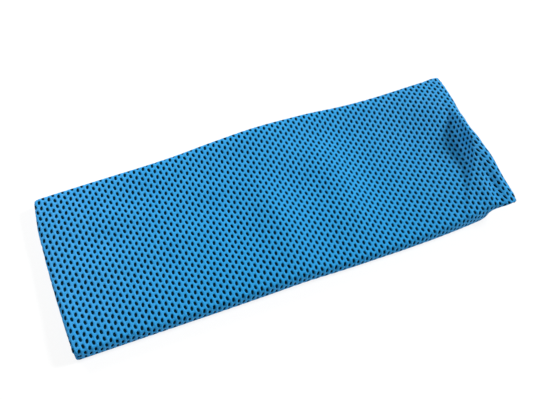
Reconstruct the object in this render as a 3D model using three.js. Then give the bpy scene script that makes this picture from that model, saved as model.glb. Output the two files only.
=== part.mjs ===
// Knitted cooling towel, folded in thirds along its length and then in thirds across its width.
// Both folds go under, so the middle panel lies on top and all four visible edges are rolled.
import * as THREE from "three";

// The flat cloth, in millimetres
const towelLength = 800;
const towelWidth = 300;
const clothThickness = 0.5;
const airGap = 0.15;

// The folded pad, measured between the centre lines of its rolled edges
const padLength = 0.3265 * towelLength;
const padWidth = 0.319 * towelWidth;
const restingLoft = 2.7;
const raisedReach = 24;
const raisedHeight = 9.4;
const creaseReach = 4;
const fieldColour = 0x3193d6;

// How far the rolled edges bulge past their centre lines
const nearRoll = 2.3;
const farRoll = 2.3;
const leftRoll = 2.4;
const rightRoll = 5;
const hiddenRoll = 1.3;
const rollSquareness = 0.8;
const cornerRadius = 3;

// Where the hidden free edges stop short of the rolled edge in front of them
const innerSetback = 4;
const underSetback = 5;

// How many stations the mesh has along each part of the folds
const coarseAlong = 15;
const fineAlong = 9;
const topAcross = 14;
const underAcross = 4;
const turnSteps = 6;
const fineFrom = 0.395;

// Each layer of the stack is one cloth thickness and one gap
const layerPitch = clothThickness + airGap;
const layersPerLevel = 3;
const levelHeight = layersPerLevel * layerPitch;
const stackHeight = 3 * levelHeight - airGap;

// Shares of the loft and of the raised end that each layer of the top level takes, from the outside
// in. Towards the long edges the layers come together, because they turn round the roll as one.
const loftShare = [1, 0.6, 0.3];
const liftShare = [1, 0, 0];
const togetherFrom = 0.32;
const togetherBy = 0.47;

// Soft hollows and ridges of the top panel: place, long and wide as shares of the pad, rise as a share of
// the resting loft. Long and wide are the distances over which each one fades out.
const swells = [
  { name: "broad hollow", along: 0.254, across: -0.06, long: 0.167, wide: 0.532, rise: -2.186 },
  { name: "left hollow", along: -0.367, across: 0.098, long: 0.065, wide: 0.08, rise: -0.672 },
  { name: "left trough", along: -0.308, across: -0.179, long: 0.189, wide: 0.103, rise: -0.383 },
  { name: "far left hollow", along: -0.298, across: 0.314, long: 0.049, wide: 0.08, rise: -0.603 },
  { name: "middle hollow", along: -0.15, across: 0.087, long: 0.051, wide: 0.086, rise: -0.503 },
  { name: "small hollow", along: 0.129, across: -0.025, long: 0.039, wide: 0.135, rise: -1.405 },
  { name: "cross ridge", along: -0.01, across: -0.11, long: 0.036, wide: 0.271, rise: 1.027 },
  { name: "second ridge", along: 0.144, across: -0.015, long: 0.042, wide: 0.203, rise: 2.246 },
  { name: "near ridge", along: -0.094, across: -0.349, long: 0.081, wide: 0.125, rise: 0.387 },
  { name: "far edge swell", along: 0.076, across: 0.494, long: 0.167, wide: 0.08, rise: 1.164 },
  { name: "knuckle", along: 0.054, across: 0.298, long: 0.046, wide: 0.11, rise: 0.932 },
  { name: "far left droop", along: -0.55, across: 0.171, long: 0.036, wide: 0.189, rise: -0.9 },
  { name: "near left lift", along: -0.544, across: -0.331, long: 0.036, wide: 0.173, rise: 0.809 },
  { name: "far slope", along: 0.476, across: 0.299, long: 0.106, wide: 0.178, rise: 1.695 },
  { name: "near slope", along: 0.564, across: -0.479, long: 0.3, wide: 0.595, rise: 2.533 },
  { name: "right hollow", along: 0.391, across: 0.168, long: 0.049, wide: 0.153, rise: -0.959 },
  { name: "lower swell", along: 0.085, across: -0.133, long: 0.049, wide: 0.162, rise: 0.459 },
  { name: "rim groove", along: 0.483, across: -0.38, long: 0.009, wide: 0.075, rise: -0.75 },
];

// The end that springs up: a steep face that starts at the foot, counted back from the right end.
// Rows run from the far edge to the near edge. Foot, face and brow are shares of the raised reach,
// rise is a share of the raised height, and step is the share of the rise that the crease takes.
const raisedEnd = [
  { across: 0.5, foot: 0.155, face: 0.205, rise: 0, brow: 0, step: 0 },
  { across: 0.28, foot: 0.2, face: 0.25, rise: 0.04, brow: 0, step: 0 },
  { across: 0.2, foot: 0.148, face: 0.12, rise: 0.22, brow: 0, step: 0.2 },
  { across: 0.13, foot: 0.165, face: 0.149, rise: 0.6, brow: 0, step: 0.4 },
  { across: 0.06, foot: 0.205, face: 0.156, rise: 0.88, brow: 0, step: 0.6 },
  { across: -0.03, foot: 0.285, face: 0.174, rise: 1.02, brow: 0.06, step: 0.72 },
  { across: -0.11, foot: 0.434, face: 0.25, rise: 0.83, brow: 0.196, step: 0.72 },
  { across: -0.19, foot: 0.697, face: 0.642, rise: 0.665, brow: 0.36, step: 0.65 },
  { across: -0.27, foot: 0.806, face: 0.738, rise: 0.511, brow: 0.558, step: 0.58 },
  { across: -0.37, foot: 0.774, face: 0.579, rise: 0.35, brow: 0.854, step: 0.5 },
  { across: -0.5, foot: 0.727, face: 0.456, rise: 0.18, brow: 1.125, step: 0.35 },
];

// Drift of the long edges, outwards from the pad's half width, in shares of the pad width. The near edge
// of the lower two levels falls short of the top level at the raised end.
const longEdges = [
  { along: -0.5, far: -0.022, near: -0.016, nearUnder: -0.016 },
  { along: -0.35, far: -0.013, near: -0.01, nearUnder: -0.01 },
  { along: -0.2, far: -0.006, near: -0.003, nearUnder: -0.003 },
  { along: -0.1, far: 0.011, near: 0, nearUnder: 0 },
  { along: 0, far: 0.023, near: 0.002, nearUnder: 0.002 },
  { along: 0.1, far: 0.025, near: 0.012, nearUnder: 0.012 },
  { along: 0.17, far: 0.025, near: 0.016, nearUnder: 0.016 },
  { along: 0.25, far: 0.014, near: 0.02, nearUnder: 0.02 },
  { along: 0.33, far: 0.006, near: 0.022, nearUnder: 0.02 },
  { along: 0.42, far: 0.001, near: 0.016, nearUnder: 0.013 },
  { along: 0.459, far: -0.001, near: 0.01, nearUnder: 0.002 },
  { along: 0.48, far: -0.002, near: 0.022, nearUnder: -0.033 },
  { along: 0.5, far: 0.003, near: 0.043, nearUnder: -0.06 },
];

// Drift of the short ends, towards the right, in shares of the pad length
const shortEnds = [
  { across: 0.5, left: 0.03, right: 0.007 },
  { across: 0.3, left: 0.017, right: 0.001 },
  { across: 0.15, left: 0.012, right: -0.011 },
  { across: 0.03, left: 0.008, right: -0.0205 },
  { across: -0.08, left: 0.005, right: -0.017 },
  { across: -0.17, left: 0.003, right: -0.013 },
  { across: -0.3, left: 0, right: -0.016 },
  { across: -0.4, left: -0.002, right: -0.02 },
  { across: -0.5, left: -0.004, right: -0.027 },
];

function mix(a, b, share) {
  return a + (b - a) * share;
}

function ease(share) {
  const s = Math.min(1, Math.max(0, share));
  return s * s * (3 - 2 * s);
}

// Reads a named column of a table with smooth steps between its rows.
function read(table, key, column, at) {
  const rows = [...table].sort((a, b) => a[key] - b[key]);
  if (at <= rows[0][key]) return rows[0][column];
  const next = rows.findIndex((row) => row[key] >= at);
  if (next < 0) return rows[rows.length - 1][column];
  const before = Math.max(0, next - 2);
  const after = Math.min(rows.length - 1, next + 1);
  const low = rows[next - 1];
  const high = rows[next];
  const span = high[key] - low[key];
  const share = (at - low[key]) / span;
  const slopeOf = (a, b) => (b[key] === a[key] ? 0 : (b[column] - a[column]) / (b[key] - a[key]));
  const lowSlope = slopeOf(rows[before], high) * span;
  const highSlope = slopeOf(low, rows[after]) * span;
  const squared = share * share;
  const cubed = squared * share;
  return (
    (2 * cubed - 3 * squared + 1) * low[column] +
    (cubed - 2 * squared + share) * lowSlope +
    (3 * squared - 2 * cubed) * high[column] +
    (cubed - squared) * highSlope
  );
}

// Height of the top panel above the pressed stack, before the raised end is added.
function loftAt(along, across) {
  let loft = restingLoft;
  for (const swell of swells) {
    const a = (along - swell.along) / swell.long;
    const b = (across - swell.across) / swell.wide;
    loft += restingLoft * swell.rise * Math.exp(-0.5 * (a * a + b * b));
  }
  return Math.max(0, loft);
}

function endLiftAt(along, across) {
  const fromEnd = (0.5 - along) * padLength;
  const foot = read(raisedEnd, "across", "foot", across) * raisedReach;
  const face = read(raisedEnd, "across", "face", across) * raisedReach;
  const rise = read(raisedEnd, "across", "rise", across) * raisedHeight;
  const brow = read(raisedEnd, "across", "brow", across) * raisedReach;
  const step = read(raisedEnd, "across", "step", across);
  const climb = Math.min(1, Math.max(0, (brow + creaseReach - fromEnd) / creaseReach)) ** 2;
  return rise * mix(ease((foot - fromEnd) / face), climb, step);
}

// Depth of a layer's two faces below the outside of its level.
function depthOf(layer, side) {
  return layer * layerPitch + (side === "outer" ? 0 : clothThickness);
}

// Height of a face in each level. The lower two levels lie pressed flat with their outside down.
function heightAt(level, layer, side, along, across) {
  const depth = depthOf(layer, side);
  if (level === "bottom") return depth;
  if (level === "middle") return levelHeight + depth;
  const together = ease((Math.abs(across) - togetherFrom) / (togetherBy - togetherFrom));
  const loft = mix(loftShare[layer], 1, together) * loftAt(along, across);
  const lift = mix(liftShare[layer], 1, together) * endLiftAt(along, across);
  return stackHeight - depth + loft + lift;
}

// Stations of the cloth's long direction, from the tucked edge of the second layer, round the right
// roll, back along the outer layer, round the left roll and out along the third layer.
function stationsAlong() {
  const line = (from, to, steps) =>
    Array.from({ length: steps + 1 }, (_, i) => mix(from, to, i / steps));
  const stations = [
    ...line(-0.5, fineFrom, coarseAlong),
    ...line(fineFrom, 0.5, fineAlong).slice(1),
  ];
  const leftTuck = -0.5 + innerSetback / padLength;
  const rightTuck = 0.5 - innerSetback / padLength;
  const second = [leftTuck, ...stations.filter((along) => along > leftTuck)];
  const third = [...stations.filter((along) => along < rightTuck), rightTuck];
  const turn = (along, from, to) =>
    line(0, 1, turnSteps)
      .slice(1, -1)
      .map((share) => ({ along, from, to, turned: share * Math.PI }));
  const flat = (list, layer) => list.map((along) => ({ along, layer }));
  return [
    ...flat(second, 1),
    ...turn(0.5, 1, 0),
    ...flat([...stations].reverse(), 0),
    ...turn(-0.5, 0, 2),
    ...flat(third, 2),
  ];
}

// Stations of the cloth's short direction, from the tucked edge of the middle level, round the far
// roll, over the top and round the near roll to the free edge of the bottom level.
function stationsAcross() {
  const line = (from, to, steps) =>
    Array.from({ length: steps + 1 }, (_, i) => mix(from, to, i / steps));
  const tuck = innerSetback / padWidth;
  const under = underSetback / padWidth;
  const middle = line(-0.5 + tuck, 0.5, underAcross).map((across) => ({ across, level: "middle" }));
  const top = line(0.5, -0.5, topAcross).map((across) => ({ across, level: "top" }));
  const bottom = line(-0.5, 0.5 - under, underAcross).map((across) => ({ across, level: "bottom" }));
  const turn = (across, from, to, roll) =>
    line(0, 1, turnSteps)
      .slice(1, -1)
      .map((share) => ({ across, from, to, roll, turned: share * Math.PI }));
  return [
    ...middle,
    ...turn(0.5, "middle", "top", farRoll),
    ...top,
    ...turn(-0.5, "top", "bottom", -nearRoll),
    ...bottom,
  ];
}

// The outer layer has its outside up, and the two layers folded under it have theirs down.
function facing(layer, side) {
  if (layer === 0) return side;
  return side === "outer" ? "inner" : "outer";
}

// Place, height and depth of one corner of the mesh inside one level.
function inLevel(level, alongStation, side, across) {
  const { along, layer, from, to, turned } = alongStation;
  const endDrift = mix(
    read(shortEnds, "across", "left", across),
    read(shortEnds, "across", "right", across),
    along + 0.5,
  );
  const x = (along + endDrift) * padLength;
  if (turned === undefined)
    return {
      x,
      height: heightAt(level, layer, facing(layer, side), along, across),
      depth: depthOf(layer, facing(layer, side)),
    };
  const share = (1 - Math.cos(turned)) / 2;
  const visibleRoll = along > 0 ? rightRoll : leftRoll;
  const roll = level === "top" ? visibleRoll : hiddenRoll;
  const reach = side === "outer" ? roll : roll - clothThickness;
  return {
    x: x + Math.sign(along) * reach * Math.sin(turned),
    height: mix(
      heightAt(level, from, facing(from, side), along, across),
      heightAt(level, to, facing(to, side), along, across),
      share,
    ),
    depth: mix(depthOf(from, facing(from, side)), depthOf(to, facing(to, side)), share),
  };
}

// Place across the pad at one level. The levels share their far edge but not their near one.
function placeAcross(level, along, across) {
  const near = read(longEdges, "along", level === "top" ? "near" : "nearUnder", along);
  const far = read(longEdges, "along", "far", along);
  return (across + mix(-near, far, across + 0.5)) * padWidth;
}

function cornerAt(alongStation, acrossStation, side) {
  const { across, level, from, to, roll, turned } = acrossStation;
  const { along } = alongStation;
  if (turned === undefined) {
    const flat = inLevel(level, alongStation, side, across);
    return new THREE.Vector3(flat.x, placeAcross(level, along, across), flat.height);
  }
  const start = inLevel(from, alongStation, side, across);
  const end = inLevel(to, alongStation, side, across);
  const share = (1 - Math.cos(turned)) / 2;
  const reach = Math.abs(roll) - start.depth;
  const outwards = Math.sin(turned) ** rollSquareness;
  const bulge = Math.sign(roll) * reach * outwards;
  // The short ends draw in round the rolls, which rounds the corners of the pad
  const drawnIn = cornerRadius * (1 - Math.sqrt(1 - outwards ** 2));
  const x = mix(start.x, end.x, share) + mix(drawnIn, -drawnIn, along + 0.5);
  const y = mix(placeAcross(from, along, across), placeAcross(to, along, across), share) + bulge;
  return new THREE.Vector3(x, y, mix(start.height, end.height, share));
}

// A closed solid from the cloth's two faces and the four strips of its cut edge.
function clothGeometry() {
  const alongStations = stationsAlong();
  const acrossStations = stationsAcross();
  const columns = alongStations.length;
  const rows = acrossStations.length;
  const positions = [];
  for (const side of ["outer", "inner"])
    for (const acrossStation of acrossStations)
      for (const alongStation of alongStations)
        positions.push(...cornerAt(alongStation, acrossStation, side).toArray());
  const corner = (side, row, column) => side * rows * columns + row * columns + column;
  const index = [];
  const quad = (a, b, c, d) => index.push(a, b, c, a, c, d);
  for (let row = 0; row < rows - 1; row++)
    for (let column = 0; column < columns - 1; column++) {
      const around = (side) => [
        corner(side, row, column),
        corner(side, row, column + 1),
        corner(side, row + 1, column + 1),
        corner(side, row + 1, column),
      ];
      const [a, b, c, d] = around(1);
      quad(...around(0));
      quad(a, d, c, b);
    }
  for (let row = 0; row < rows - 1; row++) {
    quad(corner(0, row, 0), corner(0, row + 1, 0), corner(1, row + 1, 0), corner(1, row, 0));
    const last = columns - 1;
    quad(corner(0, row + 1, last), corner(0, row, last), corner(1, row, last), corner(1, row + 1, last));
  }
  for (let column = 0; column < columns - 1; column++) {
    quad(corner(0, 0, column + 1), corner(0, 0, column), corner(1, 0, column), corner(1, 0, column + 1));
    const last = rows - 1;
    quad(
      corner(0, last, column),
      corner(0, last, column + 1),
      corner(1, last, column + 1),
      corner(1, last, column),
    );
  }
  const geometry = new THREE.BufferGeometry();
  geometry.setAttribute("position", new THREE.Float32BufferAttribute(positions, 3));
  geometry.setIndex(index);
  geometry.computeVertexNormals();
  return geometry;
}

// The origin lies under the middle of the folded pad, on the surface it rests on.
function centred(geometry) {
  geometry.computeBoundingBox();
  const middle = geometry.boundingBox.getCenter(new THREE.Vector3());
  return geometry.translate(-middle.x, -middle.y, -geometry.boundingBox.min.z);
}

const towel = new THREE.Group();
const cloth = new THREE.Mesh(
  centred(clothGeometry()),
  new THREE.MeshStandardMaterial({ color: fieldColour, roughness: 0.9, side: THREE.DoubleSide }),
);
cloth.name = "folded_towel_cloth";
towel.add(cloth);

export default towel;
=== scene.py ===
import math
import bpy
import numpy as np
from mathutils import Euler, Matrix, Vector


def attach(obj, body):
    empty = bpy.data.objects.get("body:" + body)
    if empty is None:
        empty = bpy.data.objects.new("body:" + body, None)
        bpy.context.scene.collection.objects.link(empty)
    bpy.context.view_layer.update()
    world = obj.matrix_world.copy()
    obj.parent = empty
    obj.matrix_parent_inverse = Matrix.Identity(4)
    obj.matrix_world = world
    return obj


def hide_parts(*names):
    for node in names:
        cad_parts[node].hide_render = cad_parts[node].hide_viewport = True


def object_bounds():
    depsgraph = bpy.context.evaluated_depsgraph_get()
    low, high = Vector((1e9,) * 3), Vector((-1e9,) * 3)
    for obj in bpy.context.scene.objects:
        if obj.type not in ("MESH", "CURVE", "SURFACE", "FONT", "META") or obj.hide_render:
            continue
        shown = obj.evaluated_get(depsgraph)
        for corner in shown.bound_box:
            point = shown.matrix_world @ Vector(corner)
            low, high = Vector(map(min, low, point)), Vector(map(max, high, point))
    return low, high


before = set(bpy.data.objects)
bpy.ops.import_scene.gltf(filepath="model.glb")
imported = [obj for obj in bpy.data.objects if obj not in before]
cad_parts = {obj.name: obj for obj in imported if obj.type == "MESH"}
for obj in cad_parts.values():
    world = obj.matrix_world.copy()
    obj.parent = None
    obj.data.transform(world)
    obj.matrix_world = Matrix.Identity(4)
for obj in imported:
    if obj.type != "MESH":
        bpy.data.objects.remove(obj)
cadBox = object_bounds()
print("frame loaded, CAD box", [list(corner) for corner in cadBox])

mm = 0.001

# The towel's shape, from the same sizes and tables as the solid. Everything in millimetres.
towel = {
    "thickness": 0.5, "airGap": 0.15, "loft": 2.7,
    "padLength": 0.3265 * 800, "padWidth": 0.319 * 300,  # shares of the flat towel, 800 by 300
    "raisedReach": 24, "raisedHeight": 9.4, "creaseReach": 4,
    "nearRoll": 2.3, "farRoll": 2.3, "leftRoll": 2.4, "rightRoll": 5, "hiddenRoll": 1.3,
    "squareness": 0.8, "cornerRadius": 3, "innerSetback": 4, "underSetback": 5,
    "togetherFrom": 0.32, "togetherBy": 0.47,
    "loftShare": (1, 0.6, 0.3), "liftShare": (1, 0, 0),
}
layerPitch = towel["thickness"] + towel["airGap"]
levelHeight = 3 * layerPitch
stackHeight = 3 * levelHeight - towel["airGap"]

# Hollows and ridges: along, across, long and wide as shares of the pad, rise as a share of the loft
swells = {
    "broadHollow": (0.254, -0.06, 0.167, 0.532, -2.186),
    "leftHollow": (-0.367, 0.098, 0.065, 0.08, -0.672),
    "leftTrough": (-0.308, -0.179, 0.189, 0.103, -0.383),
    "farLeftHollow": (-0.298, 0.314, 0.049, 0.08, -0.603),
    "middleHollow": (-0.15, 0.087, 0.051, 0.086, -0.503),
    "smallHollow": (0.129, -0.025, 0.039, 0.135, -1.405),
    "crossRidge": (-0.01, -0.11, 0.036, 0.271, 1.027),
    "secondRidge": (0.144, -0.015, 0.042, 0.203, 2.246),
    "nearRidge": (-0.094, -0.349, 0.081, 0.125, 0.387),
    "farEdgeSwell": (0.076, 0.494, 0.167, 0.08, 1.164),
    "knuckle": (0.054, 0.298, 0.046, 0.11, 0.932),
    "farLeftDroop": (-0.55, 0.171, 0.036, 0.189, -0.9),
    "nearLeftLift": (-0.544, -0.331, 0.036, 0.173, 0.809),
    "farSlope": (0.476, 0.299, 0.106, 0.178, 1.695),
    "nearSlope": (0.564, -0.479, 0.3, 0.595, 2.533),
    "rightHollow": (0.391, 0.168, 0.049, 0.153, -0.959),
    "lowerSwell": (0.085, -0.133, 0.049, 0.162, 0.459),
    "rimGroove": (0.483, -0.38, 0.009, 0.075, -0.75),
}

# The end that springs up: foot, face and brow count back from the right end as shares of the raised
# reach, rise is a share of the raised height, and step is the share of it that the crease takes
raisedEnd = {
    "across": (-0.5, -0.37, -0.27, -0.19, -0.11, -0.03, 0.06, 0.13, 0.2, 0.28, 0.5),
    "foot": (0.727, 0.774, 0.806, 0.697, 0.434, 0.285, 0.205, 0.165, 0.148, 0.2, 0.155),
    "face": (0.456, 0.579, 0.738, 0.642, 0.25, 0.174, 0.156, 0.149, 0.12, 0.25, 0.205),
    "rise": (0.18, 0.35, 0.511, 0.665, 0.83, 1.02, 0.88, 0.6, 0.22, 0.04, 0),
    "brow": (1.125, 0.854, 0.558, 0.36, 0.196, 0.06, 0, 0, 0, 0, 0),
    "step": (0.35, 0.5, 0.58, 0.65, 0.72, 0.72, 0.6, 0.4, 0.2, 0, 0),
}

# Drift of the long edges outwards and of the short ends to the right, as shares of the pad
longEdges = {
    "along": (-0.5, -0.35, -0.2, -0.1, 0, 0.1, 0.17, 0.25, 0.33, 0.42, 0.459, 0.48, 0.5),
    "far": (-0.022, -0.013, -0.006, 0.011, 0.023, 0.025, 0.025, 0.014, 0.006, 0.001,
            -0.001, -0.002, 0.003),
    "near": (-0.016, -0.01, -0.003, 0, 0.002, 0.012, 0.016, 0.02, 0.022, 0.016, 0.01, 0.022, 0.043),
    # The near edge of the lower two levels falls short at the raised end
    "nearUnder": (-0.016, -0.01, -0.003, 0, 0.002, 0.012, 0.016, 0.02, 0.02, 0.013,
                  0.002, -0.033, -0.06),
}
shortEnds = {
    "across": (-0.5, -0.4, -0.3, -0.17, -0.08, 0.03, 0.15, 0.3, 0.5),
    "left": (-0.004, -0.002, 0, 0.003, 0.005, 0.008, 0.012, 0.017, 0.03),
    "right": (-0.027, -0.02, -0.016, -0.013, -0.017, -0.0205, -0.011, 0.001, 0.007),
}


def mix(a, b, share):
    return a + (b - a) * share


def ease(share):
    s = np.clip(share, 0, 1)
    return s * s * (3 - 2 * s)


def read(table, key, column, at):
    keys = np.array(table[key], float)
    values = np.array(table[column], float)
    at = np.clip(np.asarray(at, float), keys[0], keys[-1])
    high = np.clip(np.searchsorted(keys, at), 1, len(keys) - 1)
    low = high - 1
    before = np.maximum(0, high - 2)
    after = np.minimum(len(keys) - 1, high + 1)
    span = keys[high] - keys[low]
    share = (at - keys[low]) / span
    lowSlope = (values[high] - values[before]) / (keys[high] - keys[before]) * span
    highSlope = (values[after] - values[low]) / (keys[after] - keys[low]) * span
    squared, cubed = share ** 2, share ** 3
    return ((2 * cubed - 3 * squared + 1) * values[low] + (cubed - 2 * squared + share) * lowSlope
            + (3 * squared - 2 * cubed) * values[high] + (cubed - squared) * highSlope)


def loftAt(along, across):
    loft = towel["loft"]
    for swellAlong, swellAcross, long, wide, rise in swells.values():
        a = (along - swellAlong) / long
        b = (across - swellAcross) / wide
        loft = loft + towel["loft"] * rise * np.exp(-0.5 * (a ** 2 + b ** 2))
    return np.maximum(0, loft)


def endLiftAt(along, across):
    fromEnd = (0.5 - along) * towel["padLength"]
    foot = read(raisedEnd, "across", "foot", across) * towel["raisedReach"]
    face = read(raisedEnd, "across", "face", across) * towel["raisedReach"]
    rise = read(raisedEnd, "across", "rise", across) * towel["raisedHeight"]
    brow = read(raisedEnd, "across", "brow", across) * towel["raisedReach"]
    step = read(raisedEnd, "across", "step", across)
    climb = np.clip((brow + towel["creaseReach"] - fromEnd) / towel["creaseReach"], 0, 1) ** 2
    return rise * mix(ease((foot - fromEnd) / face), climb, step)


def depthOf(layer, side):
    return layer * layerPitch + (0 if side == "outer" else towel["thickness"])


def facing(layer, side):
    if layer == 0:
        return side
    return "inner" if side == "outer" else "outer"


def heightAt(level, layer, side, along, across):
    depth = depthOf(layer, side) + 0 * along
    if level == "bottom":
        return depth
    if level == "middle":
        return levelHeight + depth
    overEdge = towel["togetherBy"] - towel["togetherFrom"]
    together = ease((np.abs(across) - towel["togetherFrom"]) / overEdge)
    loft = mix(towel["loftShare"][layer], 1, together) * loftAt(along, across)
    lift = mix(towel["liftShare"][layer], 1, together) * endLiftAt(along, across)
    return stackHeight - depth + loft + lift


def stationsAlong(outerSteps, innerSteps, turnSteps):
    # From the tucked edge of the second layer, round the right roll, back along the outer layer,
    # round the left roll and out along the third layer.
    tuck = towel["innerSetback"] / towel["padLength"]
    turns = np.linspace(0, math.pi, turnSteps + 1)[1:-1]
    second = [(a, 1, 1, 0.0) for a in np.linspace(-0.5 + tuck, 0.5, innerSteps + 1)]
    rightTurn = [(0.5, 1, 0, t) for t in turns]
    # Closer stations towards the right end, where the folds are sharp
    closeness, easing = 0.35, 0.6
    shares = np.linspace(0, 1, outerSteps + 1)
    outer = [(a, 0, 0, 0.0) for a in 0.5 - mix(closeness * shares, shares, shares ** easing)]
    leftTurn = [(-0.5, 0, 2, t) for t in turns]
    third = [(a, 2, 2, 0.0) for a in np.linspace(-0.5, 0.5 - tuck, innerSteps + 1)]
    return second + rightTurn + outer + leftTurn + third


def stationsAcross(topSteps, underSteps, turnSteps):
    # From the tucked edge of the middle level, round the far roll, over the top, round the near
    # roll and out to the free edge of the bottom level.
    tuck = towel["innerSetback"] / towel["padWidth"]
    under = towel["underSetback"] / towel["padWidth"]
    turns = np.linspace(0, math.pi, turnSteps + 1)[1:-1]
    middle = [(b, "middle", "middle", 0, 0.0) for b in np.linspace(-0.5 + tuck, 0.5, underSteps + 1)]
    farTurn = [(0.5, "middle", "top", towel["farRoll"], t) for t in turns]
    top = [(b, "top", "top", 0, 0.0) for b in np.linspace(0.5, -0.5, topSteps + 1)]
    nearTurn = [(-0.5, "top", "bottom", -towel["nearRoll"], t) for t in turns]
    bottom = [(b, "bottom", "bottom", 0, 0.0) for b in np.linspace(-0.5, 0.5 - under, underSteps + 1)]
    return middle + farTurn + top + nearTurn + bottom


def inLevel(level, station, side, across):
    along, start, end, turned = station
    leftDrift = read(shortEnds, "across", "left", across)
    rightDrift = read(shortEnds, "across", "right", across)
    drift = mix(leftDrift, rightDrift, along + 0.5)
    x = (along + drift) * towel["padLength"]
    share = (1 - math.cos(turned)) / 2
    roll = towel["hiddenRoll"]
    if level == "top":
        roll = towel["rightRoll"] if along > 0 else towel["leftRoll"]
    reach = roll - (0 if side == "outer" else towel["thickness"])
    x = x + math.copysign(reach, along) * math.sin(turned)
    height = mix(heightAt(level, start, facing(start, side), along, across),
                 heightAt(level, end, facing(end, side), along, across), share)
    depth = mix(depthOf(start, facing(start, side)), depthOf(end, facing(end, side)), share)
    return x, height, depth


def clothFace(alongList, acrossList, side):
    # One face of the cloth as an array of places, rows across and columns along.
    across = np.array([s[0] for s in acrossList])
    turned = np.array([s[4] for s in acrossList])
    roll = np.array([s[3] for s in acrossList], float)
    share = (1 - np.cos(turned)) / 2
    levels = ("bottom", "middle", "top")
    isStart = {level: np.array([s[1] == level for s in acrossList]) for level in levels}
    isEnd = {level: np.array([s[2] == level for s in acrossList]) for level in levels}

    def blend(parts):
        # Each roll turns from one level's value to another's.
        start = sum(parts[level] * isStart[level] for level in levels)
        end = sum(parts[level] * isEnd[level] for level in levels)
        return mix(start, end, share)

    grid = np.zeros((len(acrossList), len(alongList), 3))
    for column, station in enumerate(alongList):
        here = {level: inLevel(level, station, side, across) for level in levels}
        far = read(longEdges, "along", "far", station[0])
        place = {}
        for level in levels:
            near = read(longEdges, "along", "near" if level == "top" else "nearUnder", station[0])
            place[level] = (across + mix(-near, far, across + 0.5)) * towel["padWidth"]
        reach = np.abs(roll) - here["top"][2]
        outwards = np.abs(np.sin(turned)) ** towel["squareness"]
        bulge = np.sign(roll) * reach * outwards
        # The short ends draw in round the rolls, which rounds the corners of the pad
        drawnIn = towel["cornerRadius"] * (1 - np.sqrt(1 - np.minimum(outwards, 1) ** 2))
        x = {level: here[level][0] for level in levels}
        height = {level: here[level][1] for level in levels}
        grid[:, column, 0] = blend(x) + mix(drawnIn, -drawnIn, station[0] + 0.5)
        grid[:, column, 1] = blend(place) + bulge
        grid[:, column, 2] = blend(height)
    return grid


# The dots of the knit: millimetres between columns and rows, and how far the knit lies turned
knit = {
    "columnSpacing": 2.7396, "rowSpacing": 3.9994, "turn": math.radians(1.8),
    "columnStart": -112.133, "rowStart": -15.253,
    "holeWidth": 1.53, "holeHeight": 2.64, "faceDepth": 0.3,
    "evenLean": 0.22, "oddLean": 0.01,
    "stitches": 5.0, "loopsPerRow": 7.0, "loopZigzag": 1.1,
}


def steps(points, axis):
    lengths = np.linalg.norm(np.diff(points, axis=axis), axis=2)
    first = np.zeros_like(lengths[:, :1] if axis == 1 else lengths[:1])
    return np.cumsum(np.concatenate([first, lengths], axis=axis), axis=axis)


def knitPlaces(outer, alongList, acrossList):
    # Where each point lies in the flat knit, in columns and rows of dots.
    outerColumns = [i for i, s in enumerate(alongList) if s[1] == s[2] == 0]
    topRows = [j for j, s in enumerate(acrossList) if s[1] == s[2] == "top"]
    middleColumn = min(outerColumns, key=lambda i: abs(alongList[i][0]))
    middleRow = min(topRows, key=lambda j: abs(acrossList[j][0]))
    walkedAlong = steps(outer, 1)
    walkedAcross = steps(outer, 0)
    a = outer[:, middleColumn, 0][:, None] - (walkedAlong - walkedAlong[:, middleColumn][:, None])
    b = outer[middleRow, :, 1][None, :] - (walkedAcross - walkedAcross[middleRow, :][None, :])
    cos, sin = math.cos(knit["turn"]), math.sin(knit["turn"])
    u = (a * cos + b * sin - knit["columnStart"]) / knit["columnSpacing"]
    v = (b * cos - a * sin - knit["rowStart"]) / knit["rowSpacing"]
    return np.stack([u, v], axis=2), walkedAlong, walkedAcross


# The knit face covers the top panel, the rolls and the underside, and stops out of sight in the folds
faceReach = {"pastEnds": 6, "pastFarRoll": 9, "freeEdge": 3.5}


def insideFace(alongList, acrossList, walkedAlong, walkedAcross):
    # Millimetres to the nearest border of the knit face, positive where the face is.
    outerColumns = [i for i, s in enumerate(alongList) if 0 in (s[1], s[2])]
    first, last = outerColumns[0], outerColumns[-1]
    topRows = [j for j, s in enumerate(acrossList) if "top" in (s[1], s[2])]
    farRow = topRows[0]
    fromRight = walkedAlong - walkedAlong[:, first][:, None] + faceReach["pastEnds"]
    fromLeft = walkedAlong[:, last][:, None] - walkedAlong + faceReach["pastEnds"]
    fromFar = walkedAcross - walkedAcross[farRow][None, :] + faceReach["pastFarRoll"]
    fromFree = walkedAcross[-1][None, :] - walkedAcross - faceReach["freeEdge"]
    return np.minimum(np.minimum(fromRight, fromLeft), np.minimum(fromFar, fromFree))


def gridFaces(rows, columns, start=0, flip=False):
    j, i = np.meshgrid(np.arange(rows - 1), np.arange(columns - 1), indexing="ij")
    corner = (start + j * columns + i).ravel()
    around = [corner, corner + 1, corner + columns + 1, corner + columns]
    return np.stack(around[::-1] if flip else around, axis=1)


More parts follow.
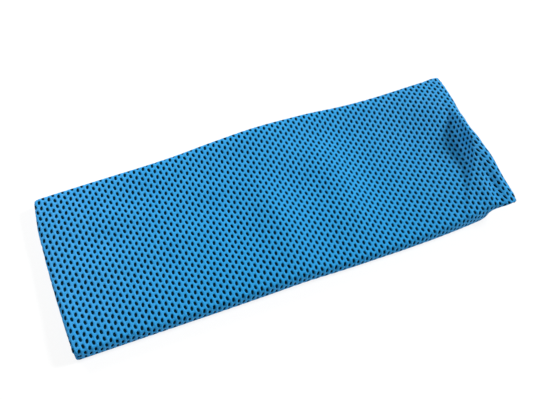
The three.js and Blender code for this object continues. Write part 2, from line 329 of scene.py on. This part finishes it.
def newMesh(name, vertices, faces, smooth=True):
    mesh = bpy.data.meshes.new(name)
    mesh.from_pydata([], [], [])
    vertices = np.asarray(vertices, float)
    mesh.vertices.add(len(vertices))
    mesh.vertices.foreach_set("co", vertices.ravel())
    sizes = np.array([len(face) for face in faces])
    mesh.loops.add(int(sizes.sum()))
    mesh.loops.foreach_set("vertex_index", np.concatenate([np.asarray(face) for face in faces]))
    mesh.polygons.add(len(faces))
    mesh.polygons.foreach_set("loop_start", np.concatenate([[0], np.cumsum(sizes)[:-1]]))
    mesh.update(calc_edges=True)
    mesh.validate()
    mesh.polygons.foreach_set("use_smooth", np.full(len(faces), smooth))
    return mesh


def setUv(mesh, name, perVertex):
    layer = mesh.uv_layers.new(name=name)
    corners = np.zeros(len(mesh.loops), int)
    mesh.loops.foreach_get("vertex_index", corners)
    layer.data.foreach_set("uv", np.asarray(perVertex)[corners].ravel())


def setFloat(mesh, name, perVertex):
    layer = mesh.attributes.new(name, "FLOAT", "POINT")
    layer.data.foreach_set("value", np.asarray(perVertex, float).ravel())


def addObject(name, mesh, material=None):
    obj = bpy.data.objects.new(name, mesh)
    bpy.context.collection.objects.link(obj)
    if material:
        mesh.materials.append(material)
    return obj


def centreShift():
    # The frame has its origin under the middle of the solid's box, so the same shift is used here.
    alongList = stationsAlong(outerSteps=24, innerSteps=24, turnSteps=6)
    acrossList = stationsAcross(topSteps=14, underSteps=4, turnSteps=6)
    outer = clothFace(alongList, acrossList, "outer").reshape(-1, 3)
    low, high = outer.min(axis=0), outer.max(axis=0)
    solid = np.array(cadBox) / mm
    return (solid[0] + solid[1]) / 2 - (low + high) / 2, solid[0][2] - low[2]


middleShift, floorShift = centreShift()
shift = np.array([middleShift[0], middleShift[1], floorShift])
print("shift of the fold functions to the part's frame", shift)

camera = {
    "place": (-173.34, -238.63, 418.13),  # millimetres, from the middle of the folded pad
    "turn": (35.075, -6.836, -25.207),  # degrees about X, Y and Z
    "lens": 60.65,
}


def addCamera(c):
    data = bpy.data.cameras.new("camera")
    data.lens = c["lens"]
    data.sensor_width = 36
    data.clip_start = 0.01
    turned = Euler([math.radians(angle) for angle in c["turn"]]).to_matrix()
    obj = bpy.data.objects.new("camera", data)
    obj.matrix_world = Matrix.Translation((np.array(c["place"]) + shift) * mm) @ turned.to_4x4()
    bpy.context.collection.objects.link(obj)
    bpy.context.scene.camera = obj


addCamera(camera)

# the colours and the pattern of the knit
tone = {
    "blue": (0.01, 0.301, 0.662, 1),
    # a deeper blue, used as painted shade at the near edge and for the knit's uneven mottle
    "blueDeep": (0.003, 0.246, 0.58, 1),
    # a lighter blue, painted as highlight on the stitch tops
    "blueStitchHighlight": (0.07, 0.415, 0.855, 1),
    # a paler blue, painted as light towards the ends and the far edge
    "bluePaintedLit": (0.052, 0.305, 0.65, 1),
    "inside": (0.02, 0.24, 0.54, 1),
    # Painted shade seen down the holes, and painted light on the near end of their floors
    "holeShade": (0.0004, 0.0095, 0.0115, 1),
    "holeLitEnd": (0.0003, 0.020, 0.054, 1),
}


def nodeHelper(tree):
    def node(kind, inputs=None, **settings):
        made = tree.nodes.new(kind)
        for key, value in settings.items():
            setattr(made, key, value)
        for key, value in (inputs or {}).items():
            if isinstance(value, bpy.types.NodeSocket):
                tree.links.new(value, made.inputs[key])
            else:
                made.inputs[key].default_value = value
        return made

    def calc(operation, a, b=0.0, c=None):
        inputs = {0: a, 1: b}
        if c is not None:
            inputs[2] = c
        return node("ShaderNodeMath", inputs, operation=operation).outputs[0]

    return node, calc


def socket(group, name, kind, inOut, value=None):
    made = group.interface.new_socket(name=name, in_out=inOut, socket_type=kind)
    if value is not None:
        made.default_value = value
    return made


def knitGroup():
    # Dots, stitches and soft colour changes of the knit, from its place in columns and rows of dots.
    group = bpy.data.node_groups.new("knitPattern", "ShaderNodeTree")
    socket(group, "Knit Place", "NodeSocketVector", "INPUT")
    socket(group, "Column Spacing", "NodeSocketFloat", "INPUT", knit["columnSpacing"])
    socket(group, "Row Spacing", "NodeSocketFloat", "INPUT", knit["rowSpacing"])
    socket(group, "Hole Width", "NodeSocketFloat", "INPUT", knit["holeWidth"])
    socket(group, "Hole Height", "NodeSocketFloat", "INPUT", knit["holeHeight"])
    socket(group, "Stitches", "NodeSocketFloat", "INPUT", knit["stitches"])
    for name in ("Hole", "Lit Hole End", "Stitch Height", "Mottle"):
        socket(group, name, "NodeSocketFloat", "OUTPUT")
    node, calc = nodeHelper(group)
    given = node("NodeGroupInput").outputs
    place = node("ShaderNodeSeparateXYZ", {0: given["Knit Place"]}).outputs
    column = calc("ROUND", place[0])
    odd = calc("ABSOLUTE", calc("MODULO", column, 2.0))
    fromColumn = calc("SUBTRACT", place[0], column)
    row = calc("SUBTRACT", place[1], calc("MULTIPLY", odd, 0.5))
    fromRow = calc("SUBTRACT", row, calc("ROUND", row))
    x = calc("MULTIPLY", fromColumn, given["Column Spacing"])
    y = calc("MULTIPLY", fromRow, given["Row Spacing"])
    lean = calc("MULTIPLY_ADD", odd, knit["oddLean"] - knit["evenLean"], knit["evenLean"])
    leaned = calc("SUBTRACT", x, calc("MULTIPLY", y, lean))
    across = calc("DIVIDE", leaned, calc("MULTIPLY", given["Hole Width"], 0.5))
    up = calc("DIVIDE", y, calc("MULTIPLY", given["Hole Height"], 0.5))
    # A squarish oval
    oval = calc("ADD", *[calc("POWER", calc("ABSOLUTE", part), 2.4) for part in (across, up)])
    hole = node("ShaderNodeMapRange", {
        "Value": oval, "From Min": 0.8, "From Max": 1.25, "To Min": 1.0, "To Max": 0.0,
    }, interpolation_type="SMOOTHSTEP").outputs[0]
    # The near end of each hole, where its floor is painted lit
    end = node("ShaderNodeMapRange", {
        "Value": up, "From Min": 0.15, "From Max": -0.85, "To Min": 0.0, "To Max": 1.0,
    }, interpolation_type="SMOOTHSTEP").outputs[0]
    # Short slanted loops: each column of dots is a few stitches wide, and the loops lean left and right
    stitchColumn = calc("MULTIPLY", place[0], given["Stitches"])
    zig = calc("PINGPONG", stitchColumn, 0.5)
    bent = calc("MULTIPLY", zig, knit["loopZigzag"])
    leaning = calc("MULTIPLY_ADD", place[1], knit["loopsPerRow"], bent)
    loops = calc("SINE", calc("MULTIPLY", leaning, 2 * math.pi))
    ribs = calc("COSINE", calc("MULTIPLY", stitchColumn, 2 * math.pi))
    height = calc("MULTIPLY_ADD", loops, 0.3, calc("MULTIPLY", ribs, 0.2))
    noise = node("ShaderNodeTexNoise", {
        "Vector": given["Knit Place"], "Scale": 0.55, "Detail": 3.0, "Roughness": 0.6,
    })
    made = {"Hole": hole, "Lit Hole End": end, "Stitch Height": height, "Mottle": noise.outputs[0]}
    out = node("NodeGroupOutput")
    for name, value in made.items():
        group.links.new(value, out.inputs[name])
    return group


knitPattern = knitGroup()


def newMaterial(name):
    material = bpy.data.materials.new(name)
    material.use_nodes = True
    material.node_tree.nodes.clear()
    return material, *nodeHelper(material.node_tree)


def mixColour(node, share, a, b):
    made = node("ShaderNodeMix", data_type="RGBA")
    tree = made.id_data
    for index, value in ((0, share), (6, a), (7, b)):
        if isinstance(value, bpy.types.NodeSocket):
            tree.links.new(value, made.inputs[index])
        else:
            made.inputs[index].default_value = value
    return made.outputs[2]


def attribute(node, name):
    return node("ShaderNodeAttribute", attribute_name=name).outputs["Fac"]


def knitNode(node):
    place = node("ShaderNodeUVMap", uv_map="knitPlace").outputs[0]
    return node("ShaderNodeGroup", {"Knit Place": place}, node_tree=knitPattern)


def ramp(node, value, low, high):
    return node("ShaderNodeMapRange", {"Value": value, "From Min": low, "From Max": high}).outputs[0]


finish = {
    "roughness": 0.55, "sheen": 0.03, "sheenRoughness": 0.5, "sheenTint": (0.35, 0.75, 1, 1),
    "bumpDepth": 0.0002,  # metres
    "face": {"bump": 0.35, "gloss": 0.06}, "cloth": {"bump": 0.3, "gloss": 0.01},
}


def finishCloth(node, colour, height, bump, gloss):
    bumped = node("ShaderNodeBump", {
        "Height": height, "Strength": bump, "Distance": finish["bumpDepth"],
    })
    shader = node("ShaderNodeBsdfPrincipled", {
        "Base Color": colour, "Roughness": finish["roughness"], "Specular IOR Level": gloss,
        "Sheen Weight": finish["sheen"], "Sheen Roughness": finish["sheenRoughness"],
        "Sheen Tint": finish["sheenTint"], "Normal": bumped.outputs[0],
    })
    out = node("ShaderNodeOutputMaterial")
    out.id_data.links.new(shader.outputs[0], out.inputs[0])


# Where the blue is painted lighter and darker as light and shade: metres from the middle of the pad, and
# shares of the other blue; mottle is the share of the knit's own uneven tone
paintedLightAndMottle = {
    "ends": (0.055, 0.135), "far": (-0.02, 0.055), "near": (-0.015, -0.05),
    "endsLitShare": 0.8, "endsBesideFar": 0.65, "farLitShare": 0.35, "nearShadeShare": 0.5, "mottle": 0.6, "stitchHighlight": 0.5,
}


def faceMaterial():
    material, node, calc = newMaterial("knitFaceBlue")
    pattern = knitNode(node)
    mottle = ramp(node, pattern.outputs["Mottle"], 0.35, 0.65)
    stitchHighlight = ramp(node, pattern.outputs["Stitch Height"], -0.5, 0.5)
    # Painted light and shade: the blue is painted lighter towards the two ends and the far edge, and darker
    # towards the near edge
    spot = node("ShaderNodeSeparateXYZ", {0: node("ShaderNodeTexCoord").outputs["Object"]}).outputs
    ends = ramp(node, calc("ABSOLUTE", spot[0]), *paintedLightAndMottle["ends"])
    far = ramp(node, spot[1], *paintedLightAndMottle["far"])
    near = ramp(node, spot[1], *paintedLightAndMottle["near"])
    litFarAndEnds = calc("MULTIPLY_ADD", far, paintedLightAndMottle["farLitShare"], calc("MULTIPLY", ends, paintedLightAndMottle["endsBesideFar"]))
    paintedLitShare = calc("MAXIMUM", calc("MULTIPLY", ends, paintedLightAndMottle["endsLitShare"]), litFarAndEnds)
    paintedLitBlue = mixColour(node, paintedLitShare, tone["blue"], tone["bluePaintedLit"])
    paintedShadedBlue = mixColour(node, calc("MULTIPLY", near, paintedLightAndMottle["nearShadeShare"]), paintedLitBlue, tone["blueDeep"])
    mottled = mixColour(node, calc("MULTIPLY", mottle, paintedLightAndMottle["mottle"]), paintedShadedBlue, tone["blueDeep"])
    # Painted highlight: the raised stitch tops are painted a lighter blue
    withStitchHighlights = mixColour(node, calc("MULTIPLY", stitchHighlight, paintedLightAndMottle["stitchHighlight"]), mottled, tone["blueStitchHighlight"])
    # Painted shade: the hole walls darken to the holes' shade colour towards their bottom
    colour = mixColour(node, attribute(node, "wallShade"), withStitchHighlights, tone["holeShade"])
    finishCloth(node, colour, pattern.outputs["Stitch Height"], **finish["face"])
    return material


def clothMaterial():
    material, node, calc = newMaterial("knitClothBlue")
    pattern = knitNode(node)
    inner = attribute(node, "innerSide")
    under = attribute(node, "shadedUnderFace")
    # Painted shade in the holes, painted lit towards their near end
    hole = mixColour(node, pattern.outputs["Lit Hole End"], tone["holeShade"], tone["holeLitEnd"])
    blue = mixColour(node, inner, tone["blue"], tone["inside"])
    # The cloth's own dots are painted in the holes' shade colour
    holeShare = calc("MULTIPLY", pattern.outputs["Hole"], calc("MULTIPLY_ADD", inner, -0.35, 1.0))
    dotted = mixColour(node, holeShare, blue, hole)
    # Painted shade: under the knit face the cloth is painted wholly in the holes' shade colour
    colour = mixColour(node, under, dotted, hole)
    height = calc("SUBTRACT", pattern.outputs["Stitch Height"], pattern.outputs["Hole"])
    finishCloth(node, colour, height, **finish["cloth"])
    return material


# the folded cloth
cloth = {
    "outerSteps": 132, "innerSteps": 66, "topSteps": 50, "underSteps": 22, "turnSteps": 12,
    "sunkUnderFace": 0.62,  # share of the cloth's thickness that lies lower under the knit face
    "sinksFrom": -4, "sinksOver": 1.2, "darkFrom": 2.4,  # millimetres inside the border of the knit face
}


def makeCloth(c):
    alongList = stationsAlong(c["outerSteps"], c["innerSteps"], c["turnSteps"])
    acrossList = stationsAcross(c["topSteps"], c["underSteps"], c["turnSteps"])
    rows, columns = len(acrossList), len(alongList)
    outer = clothFace(alongList, acrossList, "outer") + shift
    inner = clothFace(alongList, acrossList, "inner") + shift
    uv, walkedAlong, walkedAcross = knitPlaces(outer, alongList, acrossList)
    inside = insideFace(alongList, acrossList, walkedAlong, walkedAcross)
    # Under the knit face the cloth's own face lies a little lower, as the floor of the holes
    sunk = ease((inside - c["sinksFrom"]) / c["sinksOver"])[:, :, None] * c["sunkUnderFace"]
    ground = mix(outer, inner, sunk)
    vertices = np.concatenate([ground.reshape(-1, 3), inner.reshape(-1, 3)]) * mm
    count = rows * columns
    faces = list(gridFaces(rows, columns)) + list(gridFaces(rows, columns, count, flip=True))
    rim = [j * columns for j in range(rows)]
    rim += [(rows - 1) * columns + i for i in range(1, columns)]
    rim += [j * columns + columns - 1 for j in range(rows - 2, -1, -1)]
    rim += list(range(columns - 2, 0, -1))
    faces += [(p, q, q + count, p + count) for p, q in zip(rim, rim[1:] + rim[:1])]
    mesh = newMesh("towelCloth", vertices, faces)
    setUv(mesh, "knitPlace", np.concatenate([uv.reshape(-1, 2)] * 2))
    # Painted shade: the cloth under the knit face, from darkFrom millimetres inside its border
    setFloat(mesh, "shadedUnderFace", np.concatenate([(inside > c["darkFrom"]).ravel(), np.zeros(count)]))
    setFloat(mesh, "innerSide", np.concatenate([np.zeros(count), np.ones(count)]))
    return addObject("towelCloth", mesh, clothMaterial())


towelCloth = makeCloth(cloth)
print("cloth", len(towelCloth.data.polygons), "faces")

# the knit face with its holes
carrier = {
    "outerSteps": 300, "innerSteps": 90, "topSteps": 110, "underSteps": 60, "turnSteps": 24,
    "spare": 8,  # millimetres kept outside the border of the knit face
}


def makeCarrier(c):
    # A fine copy of the cloth's outer face that the flat knit is laid onto. It is removed afterwards.
    alongList = stationsAlong(c["outerSteps"], c["innerSteps"], c["turnSteps"])
    acrossList = stationsAcross(c["topSteps"], c["underSteps"], c["turnSteps"])
    outer = clothFace(alongList, acrossList, "outer") + shift
    uv, walkedAlong, walkedAcross = knitPlaces(outer, alongList, acrossList)
    inside = insideFace(alongList, acrossList, walkedAlong, walkedAcross)
    acrossRows = np.gradient(outer, axis=0)
    alongColumns = np.gradient(outer, axis=1)
    normal = np.cross(alongColumns, acrossRows)
    normal /= np.linalg.norm(normal, axis=2)[:, :, None]
    keep = [i for i in range(len(alongList)) if inside[:, i].max() > -c["spare"]]
    outer, uv, inside, normal = outer[:, keep], uv[:, keep], inside[:, keep], normal[:, keep]
    rows, columns = len(acrossList), len(keep)
    low = uv.reshape(-1, 2).min(axis=0) - 1
    high = uv.reshape(-1, 2).max(axis=0) + 1
    mesh = newMesh("carrier", outer.reshape(-1, 3) * mm, list(gridFaces(rows, columns)))
    setUv(mesh, "knitPlace", ((uv - low) / (high - low)).reshape(-1, 2))
    setFloat(mesh, "insideFace", inside)
    mesh.attributes.new("outward", "FLOAT_VECTOR", "POINT").data.foreach_set("vector", normal.ravel())
    return addObject("carrier", mesh), low, high


carrierCloth, uvLow, uvHigh = makeCarrier(carrier)
print("carrier", len(carrierCloth.data.polygons), "faces, knit from", uvLow, "to", uvHigh)

tile = {
    "rim": 12, "lipDrop": 0.05, "squareness": 0.85, "taper": 0.97,
    "notchPlace": 0.45, "notchReach": 0.35,
    "even": {"lean": knit["evenLean"], "notch": 0.0},
    "odd": {"lean": knit["oddLean"], "notch": 0.12},
}


def makeTile(name, lean, notch):
    # One dot of the knit: a flat cell with a slanted oval hole and the short wall inside it.
    w, h = knit["columnSpacing"] / 2, knit["rowSpacing"] / 2
    border = [(w, 0), (w, h / 2), (w, h), (0, h), (-w, h), (-w, h / 2),
              (-w, 0), (-w, -h / 2), (-w, -h), (0, -h), (w, -h), (w, -h / 2)]
    rim = []
    for k in range(tile["rim"]):
        angle = 2 * math.pi * k / tile["rim"]
        c, s = math.cos(angle), math.sin(angle)
        x = math.copysign(abs(c) ** tile["squareness"], c) * knit["holeWidth"] / 2
        y = math.copysign(abs(s) ** tile["squareness"], s) * knit["holeHeight"] / 2
        if c > 0.3:
            x -= notch * math.exp(-((y - tile["notchPlace"]) / tile["notchReach"]) ** 2)
        rim.append((x + lean * y, y))
    n = tile["rim"]
    vertices = [(x, y, 0) for x, y in border] + [(x, y, -tile["lipDrop"]) for x, y in rim]
    vertices += [(x * tile["taper"], y * tile["taper"], -knit["faceDepth"]) for x, y in rim]
    faces = []
    for k in range(n):
        following = (k + 1) % n
        faces.append((k, following, n + following, n + k))
        faces.append((n + k, n + following, 2 * n + following, 2 * n + k))
    mesh = newMesh(name, vertices, faces)
    # Painted shade: none on the face, a little at the lip, full at the bottom of the wall
    setFloat(mesh, "wallShade", [0] * n + [0.12] * n + [1] * n)
    return addObject(name, mesh)


evenDot = makeTile("evenDot", **tile["even"])
oddDot = makeTile("oddDot", **tile["odd"])


def faceTree():
    # Lays cells in offset columns on a flat plane, then wraps them round the carrier by its UV map.
    tree = bpy.data.node_groups.new("knitFaceOnCloth", "GeometryNodeTree")
    socket(tree, "Geometry", "NodeSocketGeometry", "OUTPUT")

    def ask(name, kind, value=None):
        socket(tree, name, kind, "INPUT", value)

    ask("Geometry", "NodeSocketGeometry")
    ask("Even Dot", "NodeSocketObject")
    ask("Odd Dot", "NodeSocketObject")
    ask("Cloth", "NodeSocketObject")
    ask("Column Spacing", "NodeSocketFloat", 2.7)
    ask("Row Spacing", "NodeSocketFloat", 4.0)
    ask("First Column", "NodeSocketInt", -20)
    ask("Column Pairs", "NodeSocketInt", 10)
    ask("First Row", "NodeSocketInt", -20)
    ask("Rows", "NodeSocketInt", 10)
    ask("Map Low", "NodeSocketVector")
    ask("Map Size", "NodeSocketVector")
    ask("Material", "NodeSocketMaterial")
    node, calc = nodeHelper(tree)
    given = node("NodeGroupInput").outputs

    def vec(operation, a, b):
        return node("ShaderNodeVectorMath", {0: a, 1: b}, operation=operation).outputs[0]

    def named(name, kind):
        return node("GeometryNodeInputNamedAttribute", {"Name": name}, data_type=kind).outputs[0]

    clothInfo = node("GeometryNodeObjectInfo", {"Object": given["Cloth"]}).outputs["Geometry"]
    spacing = node("ShaderNodeCombineXYZ", {
        0: given["Column Spacing"], 1: given["Row Spacing"], 2: 1.0,
    }).outputs[0]
    position = node("GeometryNodeInputPosition").outputs[0]
    mapUv = named("knitPlace", "FLOAT_VECTOR")

    def onCloth(value, kind, uv):
        sampled = node("GeometryNodeSampleUVSurface", {
            "Mesh": clothInfo, "Source UV Map": mapUv, "Sample UV": uv,
        }, data_type=kind)
        tree.links.new(value, sampled.inputs["Value"])
        return sampled.outputs["Value"], sampled.outputs["Is Valid"]

    knitAt = vec("DIVIDE", position, spacing)
    uvAt = vec("DIVIDE", vec("SUBTRACT", knitAt, given["Map Low"]), given["Map Size"])
    joined = node("GeometryNodeJoinGeometry")
    columnsWide = calc("MULTIPLY", calc("SUBTRACT", given["Column Pairs"], 1.0), 2.0)
    rowsWide = calc("SUBTRACT", given["Rows"], 1.0)
    for dot, parity in (("Even Dot", 0), ("Odd Dot", 1)):
        gridOf = node("GeometryNodeMeshGrid", {
            "Vertices X": given["Column Pairs"], "Vertices Y": given["Rows"],
            "Size X": calc("MULTIPLY", columnsWide, given["Column Spacing"]),
            "Size Y": calc("MULTIPLY", rowsWide, given["Row Spacing"]),
        })
        # The grid comes centred, so it moves until its first column and row are where they belong
        firstX = calc("ADD", given["First Column"], float(parity))
        firstY = calc("ADD", given["First Row"], parity * 0.5)
        middleX = calc("MULTIPLY_ADD", columnsWide, 0.5, firstX)
        middleY = calc("MULTIPLY_ADD", rowsWide, 0.5, firstY)
        middle = node("ShaderNodeCombineXYZ", {0: middleX, 1: middleY, 2: 0.0}).outputs[0]
        placed = node("GeometryNodeTransform", {
            "Geometry": gridOf.outputs["Mesh"], "Translation": vec("MULTIPLY", middle, spacing),
        })
        inside, valid = onCloth(named("insideFace", "FLOAT"), "FLOAT", uvAt)
        isIn = node("FunctionNodeCompare", {0: inside, 1: 0.0}, data_type="FLOAT", operation="GREATER_THAN")
        wanted = node("FunctionNodeBooleanMath", {0: isIn.outputs[0], 1: valid}, operation="AND")
        cell = node("GeometryNodeObjectInfo", {"Object": given[dot]}).outputs["Geometry"]
        copies = node("GeometryNodeInstanceOnPoints", {
            "Points": placed.outputs[0], "Selection": wanted.outputs[0], "Instance": cell,
        })
        tree.links.new(copies.outputs[0], joined.inputs[0])
    realized = node("GeometryNodeRealizeInstances", {"Geometry": joined.outputs[0]})
    merged = node("GeometryNodeMergeByDistance", {"Geometry": realized.outputs[0], "Distance": 0.01})
    stored = node("GeometryNodeStoreNamedAttribute", {
        "Geometry": merged.outputs[0], "Name": "knitPlace", "Value": knitAt,
    }, data_type="FLOAT2", domain="CORNER")
    place, onIt = onCloth(position, "FLOAT_VECTOR", uvAt)
    outward, _ = onCloth(named("outward", "FLOAT_VECTOR"), "FLOAT_VECTOR", uvAt)
    lift = calc("MULTIPLY", node("ShaderNodeSeparateXYZ", {0: position}).outputs[2], mm)
    raised = node("ShaderNodeVectorMath", {0: outward, "Scale": lift}, operation="SCALE").outputs[0]
    kept = node("GeometryNodeDeleteGeometry", {
        "Geometry": stored.outputs[0],
        "Selection": node("FunctionNodeBooleanMath", {0: onIt}, operation="NOT").outputs[0],
    }, domain="POINT")
    moved = node("GeometryNodeSetPosition", {
        "Geometry": kept.outputs[0], "Position": vec("ADD", place, raised),
    })
    smooth = node("GeometryNodeSetShadeSmooth", {"Geometry": moved.outputs[0]})
    painted = node("GeometryNodeSetMaterial", {
        "Geometry": smooth.outputs[0], "Material": given["Material"],
    })
    out = node("NodeGroupOutput")
    tree.links.new(painted.outputs[0], out.inputs[0])
    return tree


def runTree(name, tree, values):
    # Runs the tree on an empty mesh and keeps the result as a plain mesh.
    host = addObject(name, bpy.data.meshes.new(name))
    modifier = host.modifiers.new("knit", "NODES")
    modifier.node_group = tree
    for item in tree.interface.items_tree:
        if item.item_type == "SOCKET" and item.in_out == "INPUT" and item.name in values:
            modifier[item.identifier] = values[item.name]
    depsgraph = bpy.context.evaluated_depsgraph_get()
    finished = host.evaluated_get(depsgraph)
    result = bpy.data.meshes.new_from_object(finished, preserve_all_data_layers=True, depsgraph=depsgraph)
    host.modifiers.clear()
    host.data = result
    result.name = name
    return host


knitFaceBlue = faceMaterial()
laceTree = faceTree()
# Columns and rows of dots in the two faces, which meet under the near roll
faceRows = {"firstColumn": -16, "columnPairs": 58, "splitRow": -13, "top": 40, "under": 30}
mapLow = (float(uvLow[0]), float(uvLow[1]), 0.0)
mapSize = (float(uvHigh[0] - uvLow[0]), float(uvHigh[1] - uvLow[1]), 1.0)


def makeFace(name, firstRow, rows):
    values = {
        "Even Dot": evenDot, "Odd Dot": oddDot, "Cloth": carrierCloth,
        "Column Spacing": knit["columnSpacing"], "Row Spacing": knit["rowSpacing"],
        "First Column": faceRows["firstColumn"], "Column Pairs": faceRows["columnPairs"],
        "First Row": firstRow, "Rows": rows,
        "Map Low": mapLow, "Map Size": mapSize, "Material": knitFaceBlue,
    }
    made = runTree(name, laceTree, values)
    print(name, len(made.data.polygons), "faces,", len(made.data.materials), "material")
    return made


topKnit = makeFace("topKnit", faceRows["splitRow"], faceRows["top"])
underKnit = makeFace("underKnit", faceRows["splitRow"] - faceRows["under"], faceRows["under"])

for helper in (evenDot, oddDot, carrierCloth):
    bpy.data.objects.remove(helper, do_unlink=True)

for piece in (towelCloth, topKnit, underKnit):
    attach(piece, "root")
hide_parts("folded_towel_cloth")

# floor and light
studio = {
    "floorSize": 12.0, "floorTone": 0.16, "floorGlow": 0.86, "sky": 0.2,
    "key": {"place": (2.37, -0.1, 1.8), "size": 0.8, "power": 97},
    "back": {"place": (-0.2, 0.42, 0.32), "size": 0.3, "power": 2.2},
}


def addFloor(s):
    half = s["floorSize"] / 2
    corners = [(-half, -half, 0), (half, -half, 0), (half, half, 0), (-half, half, 0)]
    mesh = newMesh("floor", corners, [(0, 1, 2, 3)], smooth=False)
    material, node, calc = newMaterial("paleFloor")
    shader = node("ShaderNodeBsdfPrincipled", {
        "Base Color": (s["floorTone"],) * 3 + (1,), "Roughness": 0.9, "Specular IOR Level": 0.0,
        "Emission Color": (1, 1, 1, 1), "Emission Strength": s["floorGlow"],
    })
    out = node("ShaderNodeOutputMaterial")
    material.node_tree.links.new(shader.outputs[0], out.inputs[0])
    addObject("floor", mesh, material)


def addLight(name, place, size, power, target=(0, 0, 0)):
    data = bpy.data.lights.new(name, "AREA")
    data.shape = "DISK"
    data.size = size
    data.energy = power
    obj = bpy.data.objects.new(name, data)
    aimed = (Vector(place) - Vector(target)).to_track_quat("Z", "Y").to_matrix()
    obj.matrix_world = Matrix.Translation(place) @ aimed.to_4x4()
    obj.visible_camera = False
    bpy.context.collection.objects.link(obj)


def addSky(strength):
    world = bpy.data.worlds.new("softSky")
    world.use_nodes = True
    background = world.node_tree.nodes["Background"]
    background.inputs[0].default_value = (1, 1, 1, 1)
    background.inputs[1].default_value = strength
    bpy.context.scene.world = world


addFloor(studio)
addLight("key", **studio["key"])
addLight("back", **studio["back"])
addSky(studio["sky"])
bpy.context.scene.view_settings.view_transform = "Standard"
print("floor and light")
